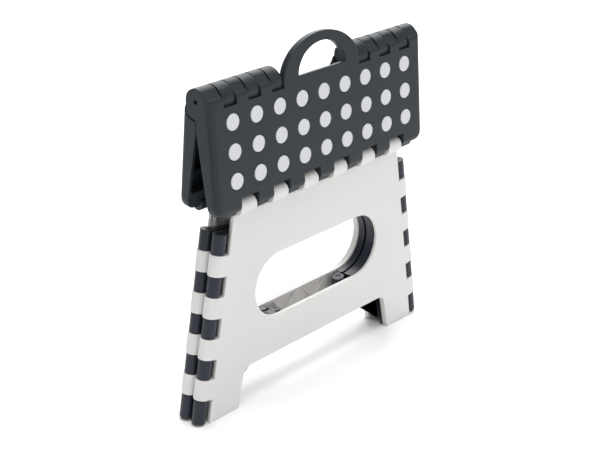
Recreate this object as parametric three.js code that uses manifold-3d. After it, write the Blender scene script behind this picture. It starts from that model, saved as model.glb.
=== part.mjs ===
// Folding step stool, standing folded on its feet: two tread halves, two legs and four gusset halves,
// moulded in plastic and joined by barrel hinges with steel pins. Millimetres, +Z up, X is the width,
// -Y is the front. The origin is on the floor, midway between the two legs.
import * as THREE from 'three';
import { mergeVertices } from 'three/addons/utils/BufferGeometryUtils.js';
import Module from 'manifold-3d';

const wasm = await Module();
wasm.setup();

// Tread: each half is described flat, with y = 0 and z = 0 on the centre hinge line and z up.
const TREAD_HALF_WIDTH = 145;
const TREAD_FACE = 16.1;
const TREAD_OUTER_EDGE = -104.6;
const TREAD_CORNER_RADIUS = 12;
const TREAD_EDGE_RADIUS = 6;
const TREAD_SKIN = 3;
const TREAD_WALL = 3;
const TREAD_RIB = 1.8;
const TREAD_RIB_FOOT = 4.5;
const TREAD_LEAN = THREE.MathUtils.degToRad(4.97);
const CENTRE_HINGE_HEIGHT = 308.4;
const RIM_BEND = -27;
const RIM_AT_BEND = -2;
const RIM_SLOPE = 0.0883;
const RIM_TO_MATE = 0.4;
const POCKET_RADIUS = 4;
const WELD = 1;

// Centre hinge of the tread.
const CENTRE_BARREL_RADIUS = 12;
const CENTRE_BARREL_CORNER = 16.3;
const FRONT_KNUCKLE_DEPTH = 12.3;
const BACK_KNUCKLE_DEPTH = 14.6;
const KNUCKLE_ROOT = -19;
const KNUCKLE_ROOT_DEPTH = 1.2;
const KNUCKLE_FACE_END = -1.5;
const CENTRE_NOTCH_RADIUS = 17.5;
const CENTRE_EDGE_RADIUS = 5;
const CENTRE_PITCH = 29.9;
const CENTRE_FIRST = 59.4;
const CENTRE_KNUCKLE = 14.1;
const CENTRE_END_KNUCKLE = 127.2;

// Carry handle, a D-shaped loop that stands out of the front half's face.
const HANDLE_HALF_WIDTH = 51.9;
const HANDLE_RISE = 37.8;
const HANDLE_CENTRE = -3.3;
const HANDLE_HOLE_HALF_WIDTH = 32.2;
const HANDLE_HOLE_RISE = 25.6;
const HANDLE_THICKNESS = 7;
const HANDLE_CLEARANCE = 1;
const FINGER_ROOM = 4;

// Grip dots, one moulding per half, joined by runners under the skin.
const DOT_RADIUS = 7.5;
const DOT_PITCH_X = 29.5;
const DOT_PITCH_Y = 26.8;
const DOT_MIDDLE_ROW = -48.3;
const DOT_COLUMNS = 9;
const DOT_PROUD = 0.3;
const DOT_DEPTH = 4;
const RUNNER_WIDTH = 3;
const RUNNER_GAP = 3;
const DOT_GAP = 0.3;
const RUNNER_TOP = 12.8;
const RUNNER_BOTTOM = 11;

// Hinge between tread and leg.
const LEG_HINGE_HEIGHT = 206.4;
const LEG_HINGE_SETBACK = 0.4;
const LEG_KNUCKLE_RADIUS = 8.1;
const LEG_KNUCKLE_WIDTH = 20;
const LEG_KNUCKLE_FIRST = 20.6;
const LEG_KNUCKLE_PITCH = 41.3;
const TAB_BARREL_RADIUS = 6;
const TAB_NOTCH = -91.6;
const TAB_BARREL_END = 131;

// Leg panel.
const HALF_DEPTH = 15.5;
const LEG_TOP = 199.5;
const LEG_EDGE_AT_FLOOR = 156.1;
const LEG_EDGE_SLOPE = 0.1772;
const FOOT_INNER = 111.8;
const ARCH_HALF_WIDTH = 103.4;
const ARCH_HEIGHT = 39.8;
const ARCH_CORNER_RADIUS = 10;
const PANEL_SKIN = 3;
const PANEL_DEPTH = 6.5;
const RIM_WIDTH = 3;
const SIDE_RIM_INSET = 8;
const ZIGZAG_BANDS = [[39, 81, 4], [143, 199, 4]];
const ZIGZAG_RIB = 2;
const HOLE_HALF_LENGTH = 88;
const HOLE_CENTRE_HEIGHT = 112;
const HOLE_HALF_HEIGHT = 32.4;

// Corner hinges between leg and gusset: the axis leans inwards.
const CORNER_AXIS_AT_FLOOR = 157.6;
const CORNER_LEAN = Math.atan(0.1735);
const CORNER_AXIS_Y = 8;
const CORNER_LIGHT_RADIUS = 7.5;
const CORNER_DARK_RADIUS = 6.7;
const CORNER_DARK_CLEARANCE = 7.4;
const CORNER_LIGHT_CLEARANCE = 8.6;
const STACK_BOTTOM = 1.2;
const STACK_FIRST = 26;
const STACK_PITCH = 20.1;
const STACK_TOP = 186.8;
const STACK_GAP = 0.4;
const DARK_ARM_LENGTH = 12;
const DARK_ARM_BOTTOM = 8;
const LIGHT_ARM_LENGTH = 13;
const LIGHT_ARM_DEPTH = 6.1;

// Gusset halves.
const GUSSET_NEAR = 8.2;
const GUSSET_FAR = 1.2;
const GUSSET_SKIN = 3;
const GUSSET_SPAN = 95.74;
const GUSSET_BARREL_RADIUS = 6.5;
const GUSSET_BARREL_CLEARANCE = 7.4;
const GUSSET_FOOT_HEIGHT = 5;
const GUSSET_ARCH_HEIGHT = 44;
const GUSSET_FOOT_INNER = 112.5;
const GUSSET_ARCH_FOOT = 106;
const GUSSET_HOLE_CLEARANCE = 1;
const COLLAR_NEAR = 12.2;
const COLLAR_ROOM = 4.8;
const GUSSET_LOWER_KNUCKLES = { start: 64.5, length: 10.2, count: 3 };
const GUSSET_UPPER_KNUCKLES = { start: 167.2, length: 9.7, count: 2 };
const GUSSET_ARM_NEAR = 6.7;
const GUSSET_ARM_FAR = 2.5;

// Hinge pins and bores.
const PIN_RADIUS = 1.7;
const BORE_RADIUS = 2.1;
const LOOSE_BORE_RADIUS = 2.7;
const PIN_RECESS = 3.5;
const KNUCKLE_GAP = 0.9;

const ROUND_SIDES = 12;
const SMALL_SIDES = 6;
const DOT_STEPS = 4;
const CURVE_STEPS = 3;
const WIDE_CURVE_STEPS = 6;
const FAR = 200;

const LIGHT_KNUCKLE_CENTRES = [-2.5, -1.5, -0.5, 0.5, 1.5, 2.5].map(
  (step) => step * LEG_KNUCKLE_PITCH - Math.sign(step) * (LEG_KNUCKLE_PITCH / 2 - LEG_KNUCKLE_FIRST),
);
const LEG_HINGE_Y = HALF_DEPTH - LEG_HINGE_SETBACK;

// --- Solids -----------------------------------------------------------------------------------

function solid(geometry) {
  const bare = geometry.clone();
  bare.deleteAttribute('normal');
  bare.deleteAttribute('uv');
  const merged = mergeVertices(bare, 1e-4);
  return new wasm.Manifold(new wasm.Mesh({
    numProp: 3,
    vertProperties: merged.attributes.position.array,
    triVerts: Uint32Array.from(merged.index.array),
  }));
}

function joined(solids) {
  return solids.reduce((sum, next) => sum.add(next));
}

function box(x0, x1, y0, y1, z0, z1) {
  const geometry = new THREE.BoxGeometry(x1 - x0, y1 - y0, z1 - z0);
  return solid(geometry.translate((x0 + x1) / 2, (y0 + y1) / 2, (z0 + z1) / 2));
}

// Outline in X and Z, carried from y0 to y1.
function plate(shape, y0, y1) {
  const geometry = new THREE.ExtrudeGeometry(shape, {
    depth: y1 - y0,
    bevelEnabled: false,
    curveSegments: CURVE_STEPS,
  });
  return solid(geometry.rotateX(Math.PI / 2).translate(0, y1, 0));
}

// Outline in Y and Z, carried from x0 to x1.
function beam(shape, x0, x1) {
  const geometry = new THREE.ExtrudeGeometry(shape, {
    depth: x1 - x0,
    bevelEnabled: false,
    curveSegments: CURVE_STEPS,
  });
  const turn = new THREE.Matrix4().makeBasis(
    new THREE.Vector3(0, 1, 0),
    new THREE.Vector3(0, 0, 1),
    new THREE.Vector3(1, 0, 0),
  );
  return solid(geometry.applyMatrix4(turn).translate(x0, 0, 0));
}

// Outline in X and Y, carried from z0 to z1.
function slab(shape, z0, z1) {
  const geometry = new THREE.ExtrudeGeometry(shape, {
    depth: z1 - z0,
    bevelEnabled: false,
    curveSegments: WIDE_CURVE_STEPS,
  });
  return solid(geometry.translate(0, 0, z0));
}

function rodX(radius, x0, x1, y, z, sides = ROUND_SIDES) {
  const geometry = new THREE.CylinderGeometry(radius, radius, x1 - x0, sides);
  return solid(geometry.rotateZ(Math.PI / 2).translate((x0 + x1) / 2, y, z));
}

// Upright cylinder in the leaning frame of a corner hinge.
function postGeometry(radius, z0, z1, inboard, y, sides = ROUND_SIDES) {
  const geometry = new THREE.CylinderGeometry(radius, radius, z1 - z0, sides);
  return geometry.rotateX(Math.PI / 2).translate(inboard, y, (z0 + z1) / 2);
}

function cornerBoxGeometry(x0, x1, y0, y1, z0, z1) {
  const geometry = new THREE.BoxGeometry(x1 - x0, y1 - y0, z1 - z0);
  return geometry.translate((x0 + x1) / 2, (y0 + y1) / 2, (z0 + z1) / 2);
}

function mirroredInX(geometry) {
  const copy = geometry.clone().scale(-1, 1, 1);
  const corners = copy.index.array;
  for (let i = 0; i < corners.length; i += 3) {
    [corners[i], corners[i + 1]] = [corners[i + 1], corners[i]];
  }
  return copy;
}

// Places a piece drawn in the corner hinge's frame (x inboard, z along the axis) on the front left
// (side -1) or front right (side 1) corner.
function atCorner(geometry, side) {
  const placed = geometry.clone().rotateY(CORNER_LEAN).translate(-CORNER_AXIS_AT_FLOOR, -CORNER_AXIS_Y, 0);
  return solid(side < 0 ? placed : mirroredInX(placed));
}

// Closed outline through [x, y, radius] corners, each rounded by its radius.
function roundedShape(corners) {
  const shape = new THREE.Shape();
  corners.forEach(([x, y, radius = 0], i) => {
    const here = new THREE.Vector2(x, y);
    const [px, py] = corners[(i + corners.length - 1) % corners.length];
    const [nx, ny] = corners[(i + 1) % corners.length];
    const before = new THREE.Vector2(px, py).sub(here).setLength(radius).add(here);
    const after = new THREE.Vector2(nx, ny).sub(here).setLength(radius).add(here);
    if (i === 0) shape.moveTo(before.x, before.y);
    else shape.lineTo(before.x, before.y);
    if (radius > 0) shape.quadraticCurveTo(x, y, after.x, after.y);
  });
  shape.closePath();
  return shape;
}

function circleShape(radius, x, y) {
  return new THREE.Shape().absarc(x, y, radius, 0, 2 * Math.PI);
}

// --- Tread halves -----------------------------------------------------------------------------

// Height of the underside rim, kept just clear of the other half when both hang folded.
function rimHeight(y) {
  const straight = RIM_AT_BEND - RIM_SLOPE * (y - RIM_BEND);
  const clearOfMate = y * Math.tan(TREAD_LEAN) + RIM_TO_MATE;
  return Math.max(straight, clearOfMate);
}

function treadBlank() {
  const w = TREAD_HALF_WIDTH;
  const r = TREAD_CORNER_RADIUS;
  const past = 2 * HANDLE_RISE;
  const plan = roundedShape([[-w, TREAD_OUTER_EDGE, r], [w, TREAD_OUTER_EDGE, r], [w, past], [-w, past]]);
  const geometry = new THREE.ExtrudeGeometry(plan, {
    depth: 2 * TREAD_FACE,
    bevelSize: TREAD_EDGE_RADIUS,
    bevelThickness: TREAD_EDGE_RADIUS,
    bevelOffset: -TREAD_EDGE_RADIUS,
    bevelSegments: 2,
    curveSegments: CURVE_STEPS,
  });
  const top = 2 * TREAD_FACE + TREAD_EDGE_RADIUS;
  return solid(geometry.translate(0, 0, TREAD_FACE - top));
}

function undersideCut() {
  const cut = new THREE.Shape();
  cut.moveTo(FAR, -FAR);
  [FAR, RIM_BEND, -FAR].forEach((y) => cut.lineTo(y, rimHeight(y)));
  cut.lineTo(-FAR, -FAR);
  return beam(cut, -FAR, FAR);
}

// Space swept by the other half's knuckles.
function mateClearance(x0, x1) {
  const lip = Math.acos(TREAD_FACE / CENTRE_NOTCH_RADIUS) + Math.PI / 2;
  const cut = new THREE.Shape();
  cut.moveTo(FAR, FAR);
  cut.lineTo(CENTRE_NOTCH_RADIUS * Math.cos(lip), FAR);
  cut.absarc(0, 0, CENTRE_NOTCH_RADIUS, lip, 1.5 * Math.PI, false);
  cut.lineTo(FAR, -CENTRE_NOTCH_RADIUS);
  return beam(cut, x0, x1);
}

// Side view of a knuckle: flush with the tread's face, round over the top, square under the hinge.
function knuckleShape(depth) {
  const r = CENTRE_EDGE_RADIUS;
  const corner = Math.asin(depth / CENTRE_BARREL_CORNER) + Math.PI;
  const shape = new THREE.Shape();
  shape.moveTo(KNUCKLE_ROOT, TREAD_FACE);
  shape.lineTo(KNUCKLE_FACE_END, TREAD_FACE);
  shape.absarc(KNUCKLE_FACE_END, TREAD_FACE - r, r, Math.PI / 2, 0.15 * Math.PI, true);
  shape.absarc(0, 0, CENTRE_BARREL_RADIUS, 0.22 * Math.PI, 0, true);
  shape.absellipse(0, 0, CENTRE_BARREL_RADIUS, depth, 0, -Math.PI / 2, true);
  shape.absarc(0, 0, CENTRE_BARREL_CORNER, corner, 1.04 * Math.PI, true);
  shape.lineTo(KNUCKLE_ROOT, -KNUCKLE_ROOT_DEPTH);
  return shape;
}

// Start and end of each knuckle of a half, on the right side; the left side mirrors them.
function knuckleSpans(isFront) {
  const spans = [];
  for (let i = 0; i < 3; i += 1) {
    const centre = CENTRE_FIRST + (i + (isFront ? 0.5 : 0)) * CENTRE_PITCH;
    if (!isFront || i < 2) spans.push([centre - CENTRE_KNUCKLE / 2, centre + CENTRE_KNUCKLE / 2]);
  }
  if (isFront) spans.push([CENTRE_END_KNUCKLE, TREAD_HALF_WIDTH]);
  return spans;
}

function bothSides(spans) {
  return spans.flatMap(([x0, x1]) => [[x0, x1], [-x1, -x0]]);
}

function handleOutline(clearance, flip) {
  const w = HANDLE_HALF_WIDTH + clearance;
  const root = WELD - CENTRE_NOTCH_RADIUS - TREAD_WALL;
  const outline = new THREE.Shape();
  outline.moveTo(-w, root);
  outline.lineTo(w, root);
  outline.absellipse(0, HANDLE_CENTRE, w, HANDLE_RISE + clearance, 0, Math.PI, false);
  const points = outline.getPoints(WIDE_CURVE_STEPS).map(({ x, y }) => new THREE.Vector2(x, flip ? -y : y));
  return new THREE.Shape(flip ? points.reverse() : points);
}

function handleLoop() {
  const outline = handleOutline(0, false);
  const hole = new THREE.Path();
  hole.absellipse(0, 0, HANDLE_HOLE_HALF_WIDTH, HANDLE_HOLE_RISE, 0, Math.PI, false);
  hole.closePath();
  outline.holes.push(hole);
  const loop = slab(outline, TREAD_FACE - HANDLE_THICKNESS, TREAD_FACE);
  const room = HANDLE_HOLE_HALF_WIDTH + FINGER_ROOM;
  return loop.subtract(box(-room, room, -CENTRE_NOTCH_RADIUS, WELD, 0, TREAD_FACE - TREAD_SKIN));
}

function treadPocket(isFront) {
  const w = TREAD_HALF_WIDTH - TREAD_WALL;
  const outer = TAB_NOTCH + TREAD_WALL;
  const inner = -CENTRE_NOTCH_RADIUS - TREAD_WALL;
  const r = POCKET_RADIUS;
  const plan = roundedShape([[-w, outer, r], [w, outer, r], [w, inner, r / 2], [-w, inner, r / 2]]);
  const pocket = slab(plan, -FAR, TREAD_FACE - TREAD_SKIN);
  if (isFront) return pocket;
  return pocket.subtract(slab(handleOutline(HANDLE_CLEARANCE + TREAD_WALL, true), -FAR, FAR));
}

// Ribs under the skin, between the columns of dots and clear of their cross runner.
function treadRibs() {
  const top = TREAD_FACE - TREAD_SKIN + WELD / 2;
  const ribs = [];
  for (let i = -3.5; i < 4; i += 1) {
    const x0 = i * DOT_PITCH_X - TREAD_RIB / 2;
    const x1 = x0 + TREAD_RIB;
    ribs.push(box(x0, x1, TAB_NOTCH + WELD, DOT_MIDDLE_ROW - RUNNER_GAP, TREAD_RIB_FOOT, top));
    ribs.push(box(x0, x1, DOT_MIDDLE_ROW + RUNNER_GAP, WELD - CENTRE_NOTCH_RADIUS, TREAD_RIB_FOOT, top));
  }
  return ribs;
}

function legHingeInTread() {
  const toHinge = new THREE.Vector2(-LEG_HINGE_Y, LEG_HINGE_HEIGHT - CENTRE_HINGE_HEIGHT);
  const sin = Math.sin(TREAD_LEAN);
  const cos = Math.cos(TREAD_LEAN);
  return { y: toHinge.x * sin + toHinge.y * cos, z: toHinge.y * sin - toHinge.x * cos };
}

function tabBarrels() {
  const hinge = legHingeInTread();
  const half = LEG_KNUCKLE_WIDTH / 2 + KNUCKLE_GAP;
  const edges = [-TAB_BARREL_END];
  LIGHT_KNUCKLE_CENTRES.forEach((x) => edges.push(x - half, x + half));
  edges.push(TAB_BARREL_END);
  const barrels = [];
  for (let i = 0; i < edges.length; i += 2) {
    barrels.push(rodX(TAB_BARREL_RADIUS, edges[i], edges[i + 1], hinge.y, hinge.z));
  }
  return barrels;
}

// Centres of a half's dots; the back half leaves out the three that the handle's cut-out takes.
function dotCentres(isFront) {
  const centres = [];
  for (let column = 0; column < DOT_COLUMNS; column += 1) {
    const x = (column - (DOT_COLUMNS - 1) / 2) * DOT_PITCH_X;
    [-1, 0, 1].forEach((row) => {
      const cutAway = !isFront && row === 1 && Math.abs(x) < 1.5 * DOT_PITCH_X;
      if (!cutAway) centres.push([x, DOT_MIDDLE_ROW + row * DOT_PITCH_Y]);
    });
  }
  return centres;
}

function dotDiscs(isFront, grow) {
  return dotCentres(isFront).map(([x, y]) => {
    const geometry = new THREE.ExtrudeGeometry(circleShape(DOT_RADIUS + grow, x, y), {
      depth: DOT_DEPTH + 2 * grow,
      bevelEnabled: false,
      curveSegments: DOT_STEPS,
    });
    return solid(geometry.translate(0, 0, TREAD_FACE + DOT_PROUD - DOT_DEPTH - grow));
  });
}

// Discs joined by one runner under each column and one across the middle row.
function gripDots(isFront) {
  const reach = ((DOT_COLUMNS - 1) / 2) * DOT_PITCH_X;
  const half = RUNNER_WIDTH / 2;
  const middle = DOT_MIDDLE_ROW;
  const pieces = [box(-reach, reach, middle - half, middle + half, RUNNER_BOTTOM, RUNNER_TOP)];
  dotCentres(isFront).forEach(([x, y]) => {
    if (y === middle) return;
    pieces.push(box(x - half, x + half, Math.min(y, middle), Math.max(y, middle), RUNNER_BOTTOM, RUNNER_TOP));
  });
  return joined([...pieces, ...dotDiscs(isFront, 0)]);
}

function treadHalf(isFront) {
  const pocket = treadPocket(isFront);
  const depth = isFront ? FRONT_KNUCKLE_DEPTH : BACK_KNUCKLE_DEPTH;
  let tread = treadBlank().subtract(undersideCut()).subtract(mateClearance(-FAR, FAR));
  tread = tread.subtract(pocket);
  tread = joined([tread, ...treadRibs(), ...tabBarrels()]);
  bothSides(knuckleSpans(isFront)).forEach(([x0, x1]) => {
    tread = tread.add(beam(knuckleShape(depth), x0, x1).intersect(treadBlank()));
  });
  const hinge = legHingeInTread();
  const half = LEG_KNUCKLE_WIDTH / 2 + KNUCKLE_GAP;
  LIGHT_KNUCKLE_CENTRES.forEach((x) => {
    tread = tread.subtract(box(x - half, x + half, -FAR, TAB_NOTCH, -FAR, FAR));
  });
  const boreEnd = TAB_BARREL_END - 2 * WELD;
  tread = tread.subtract(rodX(BORE_RADIUS, -boreEnd, boreEnd, hinge.y, hinge.z, SMALL_SIDES));
  tread = isFront
    ? tread.add(handleLoop())
    : tread.subtract(slab(handleOutline(HANDLE_CLEARANCE, true), -FAR, FAR));
  tread = tread.subtract(rodX(BORE_RADIUS, -FAR, FAR, 0, 0, SMALL_SIDES));
  return tread.subtract(joined(dotDiscs(isFront, DOT_GAP)));
}

// --- Legs -------------------------------------------------------------------------------------

function legEdge(z) {
  return LEG_EDGE_AT_FLOOR - LEG_EDGE_SLOPE * z;
}

// Leg outline drawn smaller by inset, and by sideInset along its two long sides.
function legShape(inset, sideInset) {
  const top = LEG_TOP - inset;
  const arch = ARCH_HEIGHT + inset;
  const half = [
    [FOOT_INNER + inset, inset, 1.5],
    [legEdge(inset) - sideInset, inset, 3],
    [legEdge(top) - sideInset, top, 2],
  ];
  const archCorner = [ARCH_HALF_WIDTH + inset, arch, ARCH_CORNER_RADIUS];
  const mirror = ([x, z, r]) => [-x, z, r];
  const corners = [...half, ...half.map(mirror).reverse(), mirror(archCorner), archCorner];
  const shape = roundedShape(corners);
  shape.holes.push(holePath(inset));
  return shape;
}

function holePath(grow) {
  const radius = HOLE_HALF_HEIGHT + grow;
  const reach = HOLE_HALF_LENGTH - HOLE_HALF_HEIGHT;
  const path = new THREE.Path();
  path.absarc(reach, HOLE_CENTRE_HEIGHT, radius, -Math.PI / 2, Math.PI / 2, false);
  path.absarc(-reach, HOLE_CENTRE_HEIGHT, radius, Math.PI / 2, 1.5 * Math.PI, false);
  path.closePath();
  return new THREE.Path(path.getPoints(WIDE_CURVE_STEPS));
}

// Zigzag stiffening ribs behind the panel, above and below the hand hole.
function stiffeners(pocket) {
  const depth = PANEL_DEPTH - PANEL_SKIN;
  const y = -HALF_DEPTH + PANEL_SKIN + depth / 2;
  const bars = [];
  ZIGZAG_BANDS.forEach(([low, high, count]) => {
    const rise = high - low;
    for (let i = 0; i < count; i += 1) {
      const x = (i - (count - 1) / 2) * rise;
      const bar = new THREE.BoxGeometry(ZIGZAG_RIB, depth, rise * Math.SQRT2);
      bar.rotateY((i % 2 ? 1 : -1) * (Math.PI / 4));
      bar.translate(x, y, (low + high) / 2);
      bars.push(solid(bar));
    }
  });
  return joined(bars).intersect(pocket);
}

// Spans along the corner axis of the leg's light knuckles and of the gusset's dark ones.
function stackSpans(isDark) {
  const spans = [];
  for (let i = isDark ? -1 : 0; i < 8; i += 2) {
    const start = i < 0 ? STACK_BOTTOM : STACK_FIRST + i * STACK_PITCH;
    spans.push([start, STACK_FIRST + (i + 1) * STACK_PITCH]);
  }
  return spans;
}

function legCorner(side) {
  const near = CORNER_AXIS_Y - HALF_DEPTH;
  const knuckles = stackSpans(false).flatMap(([z0, z1]) => [
    atCorner(postGeometry(CORNER_LIGHT_RADIUS, z0, z1, 0, 0), side),
    atCorner(cornerBoxGeometry(0, LIGHT_ARM_LENGTH, near, near + LIGHT_ARM_DEPTH, z0, z1), side),
  ]);
  return joined(knuckles).subtract(atCorner(postGeometry(BORE_RADIUS, -1, FAR, 0, 0, SMALL_SIDES), side));
}

// The front leg has a plain edge around its hand hole, which the front gussets' collars stand behind.
function legSolid(isFront) {
  const front = -HALF_DEPTH;
  const pocket = plate(legShape(RIM_WIDTH, SIDE_RIM_INSET + RIM_WIDTH), front + PANEL_SKIN, 0);
  const sideStrip = plate(legShape(-1, SIDE_RIM_INSET), front + PANEL_SKIN, 0);
  const body = plate(legShape(0, 0), front, front + PANEL_DEPTH);
  let leg = body.subtract(pocket);
  leg = leg.intersect(sideStrip.add(plate(legShape(0, 0), front - 1, front + PANEL_SKIN)));
  leg = leg.add(stiffeners(pocket).intersect(body));
  if (isFront) {
    const room = new THREE.Shape(holePath(COLLAR_ROOM).getPoints());
    leg = leg.subtract(plate(room, front + PANEL_SKIN, FAR));
  }
  LIGHT_KNUCKLE_CENTRES.forEach((x) => {
    const x0 = x - LEG_KNUCKLE_WIDTH / 2;
    const x1 = x + LEG_KNUCKLE_WIDTH / 2;
    leg = leg.add(rodX(LEG_KNUCKLE_RADIUS, x0, x1, -LEG_HINGE_Y, LEG_HINGE_HEIGHT));
    leg = leg.add(box(x0, x1, front, front + PANEL_DEPTH, LEG_TOP - 4, LEG_HINGE_HEIGHT));
  });
  leg = leg.subtract(rodX(BORE_RADIUS, -FAR, FAR, -LEG_HINGE_Y, LEG_HINGE_HEIGHT, SMALL_SIDES));
  [-1, 1].forEach((side) => {
    stackSpans(true).forEach(([z0, z1]) => {
      const reach = CORNER_DARK_CLEARANCE;
      const low = z0 < STACK_FIRST ? -STACK_FIRST : z0 - STACK_GAP;
      const high = z1 < STACK_TOP - STACK_GAP ? z1 + STACK_GAP : FAR + LEG_TOP;
      leg = leg.subtract(atCorner(cornerBoxGeometry(-FAR, reach, -HALF_DEPTH, reach, low, high), side));
    });
    leg = leg.add(legCorner(side));
  });
  return leg;
}

// --- Gusset halves ----------------------------------------------------------------------------

function cornerAxis(z) {
  return CORNER_AXIS_AT_FLOOR - Math.tan(CORNER_LEAN) * z;
}

// Point of the folded gusset at a distance inboard of the corner axis and a height along it.
function gussetPoint(inboard, along) {
  const sin = Math.sin(CORNER_LEAN);
  const cos = Math.cos(CORNER_LEAN);
  return [CORNER_AXIS_AT_FLOOR - along * sin - inboard * cos, along * cos - inboard * sin];
}

// Outline of the right-hand gusset half, drawn smaller by inset.
function gussetShape(inset) {
  const outer = CORNER_LIGHT_CLEARANCE + inset;
  const inner = GUSSET_SPAN - GUSSET_BARREL_CLEARANCE - inset;
  const foot = GUSSET_FOOT_HEIGHT + inset;
  const arch = GUSSET_ARCH_HEIGHT + inset;
  const top = STACK_TOP - inset;
  const outerFoot = cornerAxis(foot) - outer / Math.cos(CORNER_LEAN);
  const innerArch = cornerAxis(arch) - inner / Math.cos(CORNER_LEAN);
  return roundedShape([
    [GUSSET_FOOT_INNER + inset, foot, 1],
    [outerFoot, foot, 2],
    [...gussetPoint(outer, top), 2],
    [...gussetPoint(inner, top), 2],
    [innerArch, arch, 2],
    [GUSSET_ARCH_FOOT + inset, arch, ARCH_CORNER_RADIUS / 2],
  ]);
}

function gussetKnuckles(isFirst) {
  const own = isFirst ? 0 : 1;
  const spans = [];
  [GUSSET_LOWER_KNUCKLES, GUSSET_UPPER_KNUCKLES].forEach(({ start, length, count }) => {
    for (let i = 0; i < count; i += 1) {
      if (i % 2 === own) spans.push([start + i * length, start + (i + 1) * length]);
    }
  });
  return spans;
}

// Gusset half drawn at the front. On the left (side -1) it has the first of the alternating centre
// knuckles. A front one has a collar around the hand hole, a back one has loose corner bores.
function gussetSolid(side, isFront) {
  const shape = gussetShape(0);
  const pocketShape = gussetShape(RIM_WIDTH);
  const near = CORNER_AXIS_Y - GUSSET_NEAR;
  const far = CORNER_AXIS_Y - GUSSET_FAR;
  const hole = new THREE.Shape(holePath(GUSSET_HOLE_CLEARANCE).getPoints());
  const holeWall = new THREE.Shape(holePath(GUSSET_HOLE_CLEARANCE + RIM_WIDTH).getPoints());
  const pocket = plate(pocketShape, -GUSSET_NEAR + GUSSET_SKIN, 1).subtract(plate(holeWall, -FAR, FAR));
  const collar = plate(shape, -COLLAR_NEAR, -GUSSET_NEAR + GUSSET_SKIN).intersect(plate(holeWall, -FAR, FAR));
  let right = plate(shape, -GUSSET_NEAR, -GUSSET_FAR).subtract(pocket);
  if (isFront) right = right.add(collar);
  right = right.subtract(plate(hole, -FAR, FAR));
  let gusset = side > 0 ? right : solid(mirroredInX(geometryOf(right)));
  stackSpans(true).forEach(([z0, z1]) => {
    const from = z0 + STACK_GAP;
    const to = z1 - STACK_GAP;
    const arm = cornerBoxGeometry(0, DARK_ARM_LENGTH, near, far, Math.max(from, DARK_ARM_BOTTOM), to);
    gusset = gusset.add(atCorner(postGeometry(CORNER_DARK_RADIUS, from, to, 0, 0), side));
    gusset = gusset.add(atCorner(arm, side));
  });
  gussetKnuckles(side < 0).forEach(([z0, z1]) => {
    const from = z0 + STACK_GAP;
    const to = z1 - STACK_GAP;
    const inner = GUSSET_SPAN - GUSSET_BARREL_CLEARANCE - RIM_WIDTH;
    const armNear = CORNER_AXIS_Y - GUSSET_ARM_NEAR;
    const armFar = CORNER_AXIS_Y - GUSSET_ARM_FAR;
    const barrel = postGeometry(GUSSET_BARREL_RADIUS, from, to, GUSSET_SPAN, CORNER_AXIS_Y);
    const arm = cornerBoxGeometry(inner, GUSSET_SPAN, armNear, armFar, from, to);
    gusset = gusset.add(atCorner(barrel, side)).add(atCorner(arm, side));
  });
  const cornerBore = isFront ? BORE_RADIUS : LOOSE_BORE_RADIUS;
  gusset = gusset.subtract(atCorner(postGeometry(cornerBore, -1, FAR, 0, 0, SMALL_SIDES), side));
  const centreBore = postGeometry(BORE_RADIUS, -1, FAR, GUSSET_SPAN, CORNER_AXIS_Y, SMALL_SIDES);
  return gusset.subtract(atCorner(centreBore, side));
}

// --- Assembly ---------------------------------------------------------------------------------

function geometryOf(manifold) {
  const { vertProperties, triVerts } = manifold.getMesh();
  const geometry = new THREE.BufferGeometry();
  geometry.setAttribute('position', new THREE.BufferAttribute(vertProperties, 3));
  geometry.setIndex(new THREE.BufferAttribute(triVerts, 1));
  geometry.computeVertexNormals();
  return geometry;
}

const FINISHES = {
  dark_plastic: { color: 0x43484c, roughness: 0.5, metalness: 0 },
  light_plastic: { color: 0xe0dedb, roughness: 0.45, metalness: 0 },
  grip_rubber: { color: 0xe6e6ea, roughness: 0.75, metalness: 0 },
  pin_steel: { color: 0x9a9da0, roughness: 0.35, metalness: 1 },
};

function addPiece(parent, name, manifold, finish) {
  const mesh = new THREE.Mesh(geometryOf(manifold), new THREE.MeshStandardMaterial(FINISHES[finish]));
  mesh.name = name;
  parent.add(mesh);
}

// Group that hangs a flat-drawn tread half from the centre hinge at its folded lean.
function hangingTread(parent) {
  const group = new THREE.Group();
  group.position.z = CENTRE_HINGE_HEIGHT;
  group.rotation.x = Math.PI / 2 - TREAD_LEAN;
  parent.add(group);
  return group;
}

function addTreads(front, back) {
  const frontTread = hangingTread(front);
  const backTread = hangingTread(back);
  addPiece(frontTread, 'front_tread', treadHalf(true), 'dark_plastic');
  addPiece(frontTread, 'front_grip_dots', gripDots(true), 'grip_rubber');
  addPiece(backTread, 'back_tread', treadHalf(false), 'dark_plastic');
  addPiece(backTread, 'back_grip_dots', gripDots(false), 'grip_rubber');
  const start = CENTRE_FIRST - CENTRE_KNUCKLE / 2 + 1;
  const end = TREAD_HALF_WIDTH - PIN_RECESS;
  addPiece(frontTread, 'centre_pin_right', rodX(PIN_RADIUS, start, end, 0, 0, SMALL_SIDES), 'pin_steel');
  addPiece(frontTread, 'centre_pin_left', rodX(PIN_RADIUS, -end, -start, 0, 0, SMALL_SIDES), 'pin_steel');
}

function addLeg(parent, end) {
  const reach = TAB_BARREL_END - 3;
  const pin = rodX(PIN_RADIUS, -reach, reach, -LEG_HINGE_Y, LEG_HINGE_HEIGHT, SMALL_SIDES);
  addPiece(parent, `${end}_leg`, legSolid(end === 'front'), 'light_plastic');
  addPiece(parent, `${end}_tread_pin`, pin, 'pin_steel');
}

function cornerPin(side) {
  return atCorner(postGeometry(PIN_RADIUS, STACK_BOTTOM + 1, STACK_TOP + 0.6, 0, 0, SMALL_SIDES), side);
}

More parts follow.
